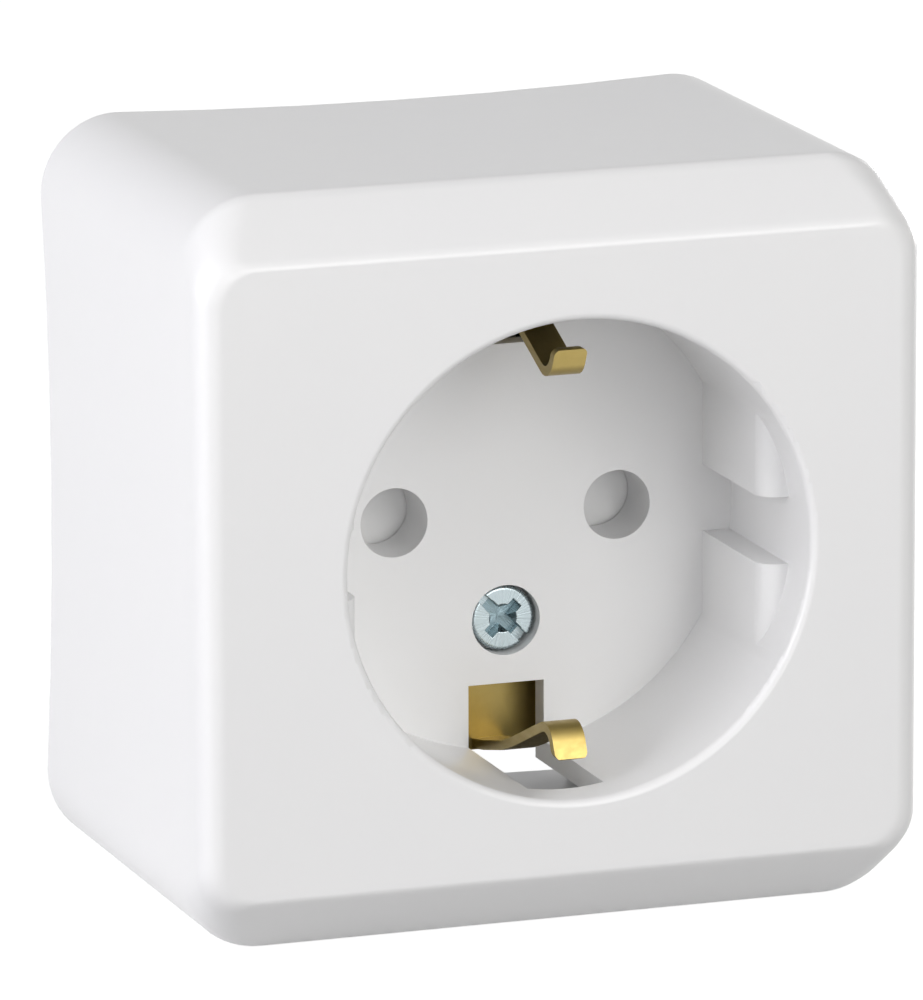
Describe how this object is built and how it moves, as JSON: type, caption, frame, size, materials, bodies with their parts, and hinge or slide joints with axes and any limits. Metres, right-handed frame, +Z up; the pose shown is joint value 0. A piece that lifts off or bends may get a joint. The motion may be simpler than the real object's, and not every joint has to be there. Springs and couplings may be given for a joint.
{
  "type": "surface mounted socket",
  "caption": "Surface mounted earthed wall socket with a recessed round plug well, side earth clips, sprung pin shutter and screw terminals behind one white cover.",
  "frame": {"origin": "centre of the rear face that lies against the wall", "axes": "+X to the right as seen from the front, +Y into the wall, +Z up; the front faces -Y"},
  "size_m": [0.0606, 0.0408, 0.0608],
  "materials": {
    "cover_plastic": "satin gloss white thermoplastic",
    "base_plastic": "matt white thermoplastic",
    "shutter_plastic": "matt white nylon",
    "brass": "bare rolled strip",
    "zinc_steel": "blue passivated zinc",
    "spring_steel": "drawn wire"
  },
  "bodies": {
    "socket": {"cover": "cover_plastic", "cover_screw": "zinc_steel", "cover_nut": "zinc_steel", "base": "base_plastic", "contact_left": "brass", "contact_right": "brass", "earth_bracket": "brass", "earth_plate": "brass", "earth_rivet_upper": "brass", "earth_rivet_lower": "brass", "shutter_spring": "spring_steel", "shutter_tray": "shutter_plastic"},
    "shutter": {"shutter": "shutter_plastic"},
    "clamp_left_upper": {"clamp_left_upper": "zinc_steel"},
    "terminal_screw_left_upper": {"terminal_screw_left_upper": "zinc_steel"},
    "clamp_left_lower": {"clamp_left_lower": "zinc_steel"},
    "terminal_screw_left_lower": {"terminal_screw_left_lower": "zinc_steel"},
    "clamp_right_upper": {"clamp_right_upper": "zinc_steel"},
    "terminal_screw_right_upper": {"terminal_screw_right_upper": "zinc_steel"},
    "clamp_right_lower": {"clamp_right_lower": "zinc_steel"},
    "terminal_screw_right_lower": {"terminal_screw_right_lower": "zinc_steel"},
    "clamp_earth_left": {"clamp_earth_left": "zinc_steel"},
    "terminal_screw_earth_left": {"terminal_screw_earth_left": "zinc_steel"},
    "clamp_earth_right": {"clamp_earth_right": "zinc_steel"},
    "terminal_screw_earth_right": {"terminal_screw_earth_right": "zinc_steel"}
  },
  "joints": [
    {"name": "shutter_slide", "type": "slide", "parent": "socket", "child": "shutter", "axis": [1, 0, 0], "range_m": [0, 0.0063], "stiffness_N_per_m": 60, "springref_m": -0.004, "deforming": ["shutter_spring"]},
    {"name": "clamp_slide_left_upper", "type": "slide", "parent": "socket", "child": "clamp_left_upper", "axis": [0, 1, 0], "range_m": [0, 0.00258]},
    {"name": "screw_turn_left_upper", "type": "hinge", "parent": "clamp_left_upper", "child": "terminal_screw_left_upper", "pos_m": [-0.0081, -0.0105, 0.0126], "axis": [0, 1, 0], "range_deg": [0, 1550]},
    {"name": "clamp_slide_left_lower", "type": "slide", "parent": "socket", "child": "clamp_left_lower", "axis": [0, 1, 0], "range_m": [0, 0.00258]},
    {"name": "screw_turn_left_lower", "type": "hinge", "parent": "clamp_left_lower", "child": "terminal_screw_left_lower", "pos_m": [-0.0081, -0.0105, -0.0126], "axis": [0, 1, 0], "range_deg": [0, 1550]},
    {"name": "clamp_slide_right_upper", "type": "slide", "parent": "socket", "child": "clamp_right_upper", "axis": [0, 1, 0], "range_m": [0, 0.00258]},
    {"name": "screw_turn_right_upper", "type": "hinge", "parent": "clamp_right_upper", "child": "terminal_screw_right_upper", "pos_m": [0.0109, -0.0105, 0.0126], "axis": [0, 1, 0], "range_deg": [0, 1550]},
    {"name": "clamp_slide_right_lower", "type": "slide", "parent": "socket", "child": "clamp_right_lower", "axis": [0, 1, 0], "range_m": [0, 0.00258]},
    {"name": "screw_turn_right_lower", "type": "hinge", "parent": "clamp_right_lower", "child": "terminal_screw_right_lower", "pos_m": [0.0109, -0.0105, -0.0126], "axis": [0, 1, 0], "range_deg": [0, 1550]},
    {"name": "clamp_slide_earth_left", "type": "slide", "parent": "socket", "child": "clamp_earth_left", "axis": [0, 1, 0], "range_m": [0, 0.00258]},
    {"name": "screw_turn_earth_left", "type": "hinge", "parent": "clamp_earth_left", "child": "terminal_screw_earth_left", "pos_m": [-0.0071, -0.0105, 0.0215], "axis": [0, 1, 0], "range_deg": [0, 1550]},
    {"name": "clamp_slide_earth_right", "type": "slide", "parent": "socket", "child": "clamp_earth_right", "axis": [0, 1, 0], "range_m": [0, 0.00258]},
    {"name": "screw_turn_earth_right", "type": "hinge", "parent": "clamp_earth_right", "child": "terminal_screw_earth_right", "pos_m": [0.0099, -0.0105, 0.0215], "axis": [0, 1, 0], "range_deg": [0, 1550]}
  ],
  "couplings": [
    {"joint": "screw_turn_left_upper", "follows": "clamp_slide_left_upper", "rad_per_m": 10472},
    {"joint": "screw_turn_left_lower", "follows": "clamp_slide_left_lower", "rad_per_m": 10472},
    {"joint": "screw_turn_right_upper", "follows": "clamp_slide_right_upper", "rad_per_m": 10472},
    {"joint": "screw_turn_right_lower", "follows": "clamp_slide_right_lower", "rad_per_m": 10472},
    {"joint": "screw_turn_earth_left", "follows": "clamp_slide_earth_left", "rad_per_m": 10472},
    {"joint": "screw_turn_earth_right", "follows": "clamp_slide_earth_right", "rad_per_m": 10472}
  ]
}
